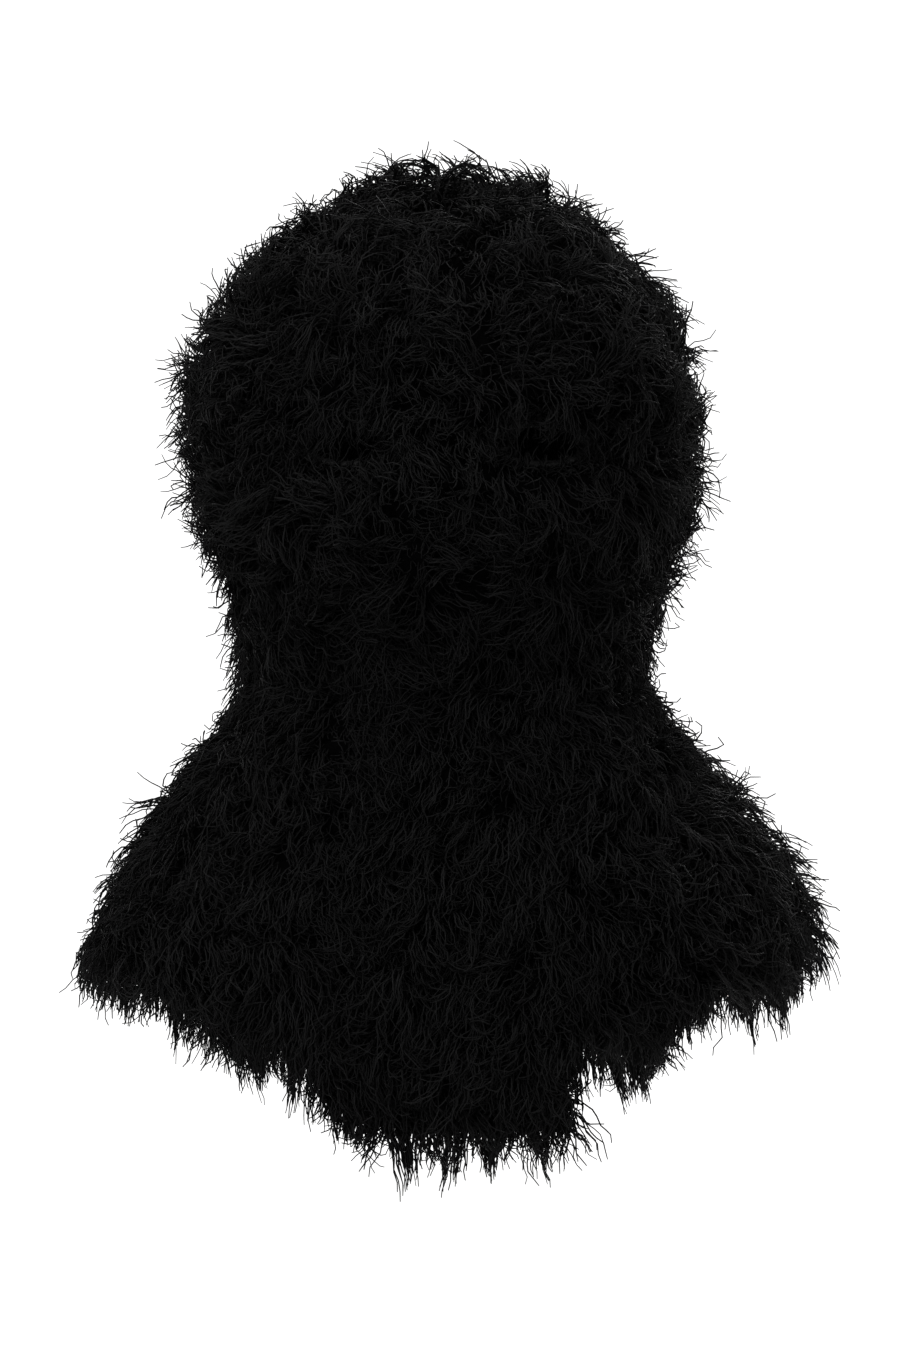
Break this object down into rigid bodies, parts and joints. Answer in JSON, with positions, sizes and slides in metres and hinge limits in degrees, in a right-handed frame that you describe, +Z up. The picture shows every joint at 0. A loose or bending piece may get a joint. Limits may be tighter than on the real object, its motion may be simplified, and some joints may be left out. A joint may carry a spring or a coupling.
{
  "type": "balaclava",
  "caption": "Shaggy fringe-knit balaclava with eye openings and a flaring shoulder cape whose hem drops to a tab at the front.",
  "frame": {"origin": "the head seat: the inside of the crown, where the top of the wearer's head bears", "axes": "+Z up, -Y the way the face looks, +X towards the wearer's left"},
  "size_m": [0.3362, 0.2641, 0.449],
  "materials": {
    "knit_ground": "matt rib knit",
    "fringe_yarn": "twisted cotton fringe yarn with a faint sheen",
    "rib_binding": "one by one rib",
    "seam_thread": "linked seam in matching yarn",
    "woven_label": "blank damask label",
    "care_tape": "blank satin tape"
  },
  "bodies": {
    "hood": {"hood_left": "knit_ground", "hood_right": "knit_ground", "face_panel": "knit_ground", "crown_seam": "seam_thread", "face_seam_left": "seam_thread", "face_seam_right": "seam_thread", "eye_rim_left": "rib_binding", "eye_rim_right": "rib_binding", "fringe_hood_left": "fringe_yarn", "fringe_hood_right": "fringe_yarn", "fringe_face": "fringe_yarn", "nape_label": "woven_label"},
    "neck": {"neck_band": "knit_ground", "neck_seam": "seam_thread", "fringe_neck": "fringe_yarn"},
    "yoke": {"yoke": "knit_ground", "yoke_seam": "seam_thread", "fringe_yoke": "fringe_yarn"},
    "front_cape": {"front_tab": "knit_ground", "front_inner_gore_left": "knit_ground", "front_inner_gore_right": "knit_ground", "front_outer_gore_left": "knit_ground", "front_outer_gore_right": "knit_ground", "tab_seam_left": "seam_thread", "tab_seam_right": "seam_thread", "front_gore_seam_left": "seam_thread", "front_gore_seam_right": "seam_thread", "fringe_front_tab": "fringe_yarn", "fringe_front_inner_left": "fringe_yarn", "fringe_front_inner_right": "fringe_yarn", "fringe_front_outer_left": "fringe_yarn", "fringe_front_outer_right": "fringe_yarn"},
    "back_cape": {"back_panel": "knit_ground", "back_gore_left": "knit_ground", "back_gore_right": "knit_ground", "back_seam_left": "seam_thread", "back_seam_right": "seam_thread", "fringe_back_panel": "fringe_yarn", "fringe_back_left": "fringe_yarn", "fringe_back_right": "fringe_yarn", "care_label": "care_tape"}
  },
  "joints": [
    {"name": "head_turn", "type": "hinge", "parent": "hood", "child": "neck", "pos_m": [0, 0, -0.2], "axis": [0, 0, 1], "range_deg": [-35, 35], "stiffness_Nm_per_rad": 0.15},
    {"name": "head_nod", "type": "hinge", "parent": "neck", "child": "yoke", "pos_m": [0, -0.0945, -0.23], "axis": [-1, 0, 0], "range_deg": [0, 20], "stiffness_Nm_per_rad": 1, "springref_deg": -17.19},
    {"name": "front_lift", "type": "hinge", "parent": "yoke", "child": "front_cape", "pos_m": [0, -0.103, -0.258], "axis": [-1, 0, 0], "range_deg": [0, 50]},
    {"name": "back_lift", "type": "hinge", "parent": "yoke", "child": "back_cape", "pos_m": [0, 0.1102, -0.258], "axis": [1, 0, 0], "range_deg": [0, 50]}
  ]
}
